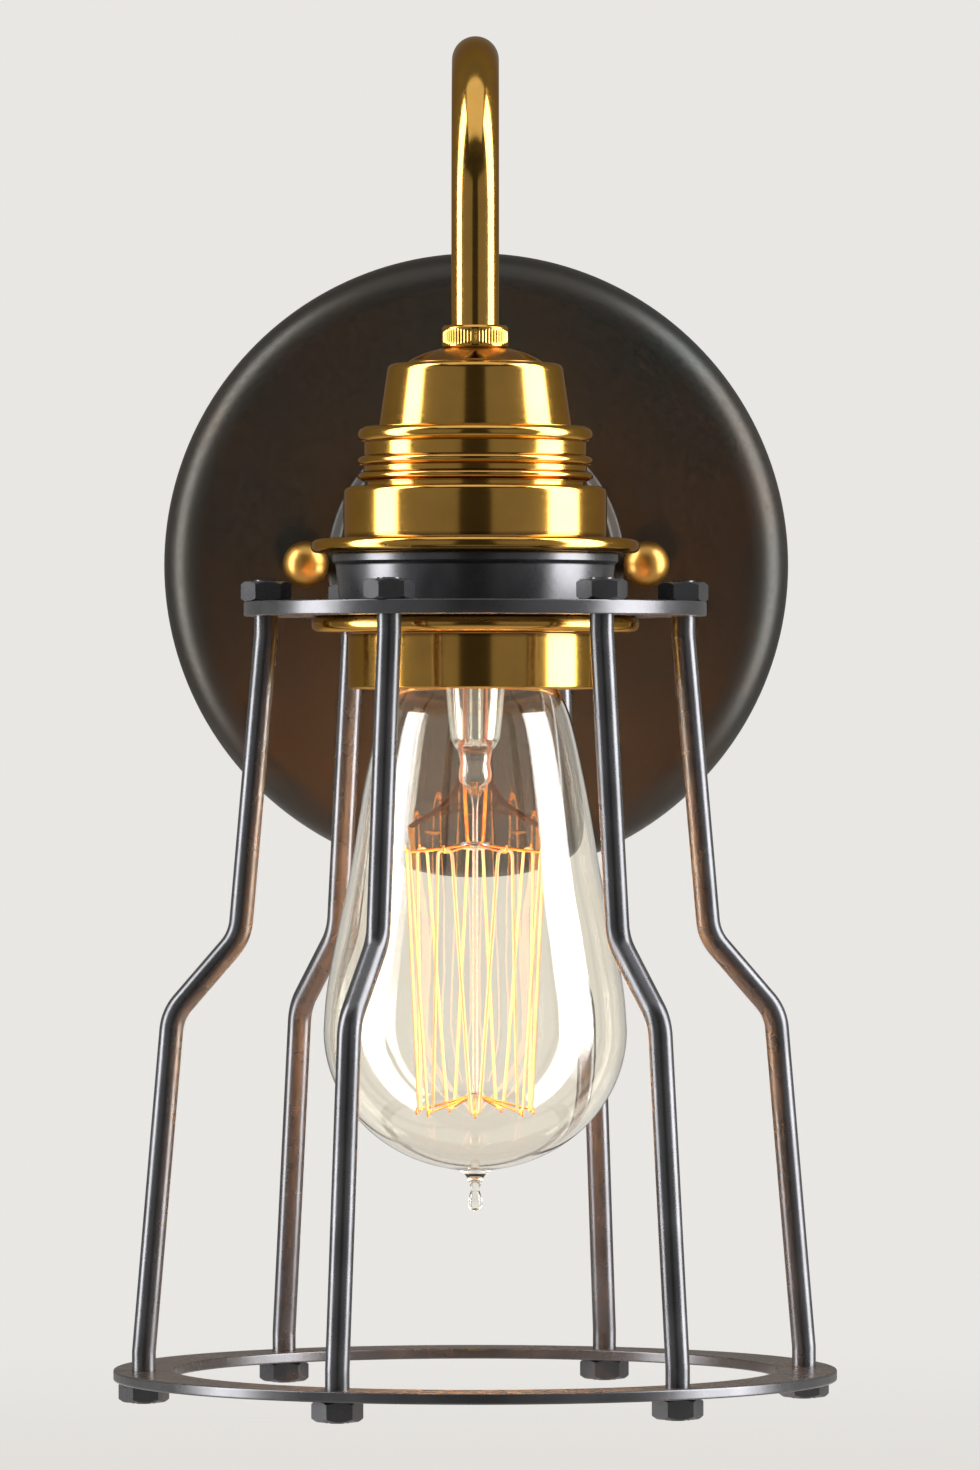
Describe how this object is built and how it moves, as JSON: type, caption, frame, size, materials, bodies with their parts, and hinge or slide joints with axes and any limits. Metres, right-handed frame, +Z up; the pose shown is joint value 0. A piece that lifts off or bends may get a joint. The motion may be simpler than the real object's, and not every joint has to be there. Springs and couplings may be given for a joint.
{
  "type": "cage wall light",
  "caption": "Wall light with a hooked brass arm on a round steel plate, a brass lampholder, an open steel rod cage and a clear pear-shaped filament bulb.",
  "frame": {"origin": "centre of the round wall plate, on the wall surface and midway between the two wall-box screws", "axes": "+Z up, +Y into the wall, so the light stands out along -Y; the lamp axis is upright at x = 0, y = -150 mm"},
  "size_m": [0.1516, 0.2258, 0.2886],
  "materials": {
    "antique_brass": "antique brass, satin polished and lacquered",
    "bright_brass": "bright rolled brass",
    "blackened_steel": "blackened and waxed, semi-gloss",
    "bronzed_steel": "dark bronze, satin",
    "zinc_plated_steel": "bright zinc plate",
    "green_screw": "green dyed zinc plate",
    "black_insulation": "satin insulation",
    "white_insulation": "satin insulation",
    "green_insulation": "satin insulation",
    "porcelain": "white glazed porcelain",
    "tinned_contact": "tinned",
    "black_glass": "black vitrite",
    "nickel_cap": "nickel plated brass",
    "clear_glass": "clear glass with a slight warm tint",
    "stem_glass": "clear lead glass",
    "copper_wire": "bare copper-clad wire",
    "support_wire": "bare wire",
    "filament_glow": "glowing carbon filament"
  },
  "bodies": {
    "fixture": {"box_strap": "zinc_plated_steel", "stud_strap": "zinc_plated_steel", "pivot_screw": "zinc_plated_steel", "earth_screw": "green_screw", "plate_studs": "zinc_plated_steel", "wall_plate": "bronzed_steel", "arm_tube": "antique_brass", "arm_front_nut": "antique_brass", "arm_washer": "zinc_plated_steel", "arm_lock_nut": "zinc_plated_steel", "live_wire": "black_insulation", "neutral_wire": "white_insulation", "earth_wire": "green_insulation", "neck_collar": "antique_brass", "neck_nut": "zinc_plated_steel", "vent_cap": "antique_brass", "cone_shell": "antique_brass", "ribbed_ring": "antique_brass", "body_shell": "antique_brass", "porcelain_core": "porcelain", "terminal_screws": "bright_brass", "screw_shell": "bright_brass", "centre_contact": "bright_brass"},
    "ball_nut_left": {"ball_nut_left": "antique_brass"},
    "ball_nut_right": {"ball_nut_right": "antique_brass"},
    "retaining_ring": {"retaining_ring": "antique_brass"},
    "cage": {"cage_collar": "blackened_steel", "cage_top_ring": "blackened_steel", "cage_top_nuts": "blackened_steel", "cage_foot_ring": "blackened_steel", "cage_foot_nuts": "blackened_steel", "cage_rod_1": "blackened_steel", "cage_rod_2": "blackened_steel", "cage_rod_3": "blackened_steel", "cage_rod_4": "blackened_steel", "cage_rod_5": "blackened_steel", "cage_rod_6": "blackened_steel"},
    "bulb_travel": {"bulb_contact": "tinned_contact"},
    "bulb": {"bulb_insulator": "black_glass", "bulb_cap": "nickel_cap", "bulb_glass": "clear_glass", "bulb_stem": "stem_glass", "lead_wires": "copper_wire", "filament_hooks": "support_wire", "filament": "filament_glow"}
  },
  "joints": [
    {"name": "ball_nut_left_travel", "type": "slide", "parent": "fixture", "child": "ball_nut_left", "axis": [0, -1, 0], "range_m": [0, 0.008]},
    {"name": "ball_nut_right_travel", "type": "slide", "parent": "fixture", "child": "ball_nut_right", "axis": [0, -1, 0], "range_m": [0, 0.008]},
    {"name": "ring_travel", "type": "slide", "parent": "fixture", "child": "retaining_ring", "axis": [0, 0, -1], "range_m": [0, 0.012]},
    {"name": "cage_turn", "type": "hinge", "parent": "retaining_ring", "child": "cage", "pos_m": [0, -0.15, -0.0132], "axis": [0, 0, 1], "continuous": true},
    {"name": "bulb_unscrew_travel", "type": "slide", "parent": "fixture", "child": "bulb_travel", "axis": [0, 0, -1], "range_m": [0, 0.0182]},
    {"name": "bulb_unscrew", "type": "hinge", "parent": "bulb_travel", "child": "bulb", "pos_m": [0, -0.15, -0.02], "axis": [0, 0, -1], "range_deg": [0, 1800]}
  ],
  "couplings": [
    {"joint": "bulb_unscrew_travel", "follows": "bulb_unscrew", "m_per_rad": 0.00057757}
  ]
}
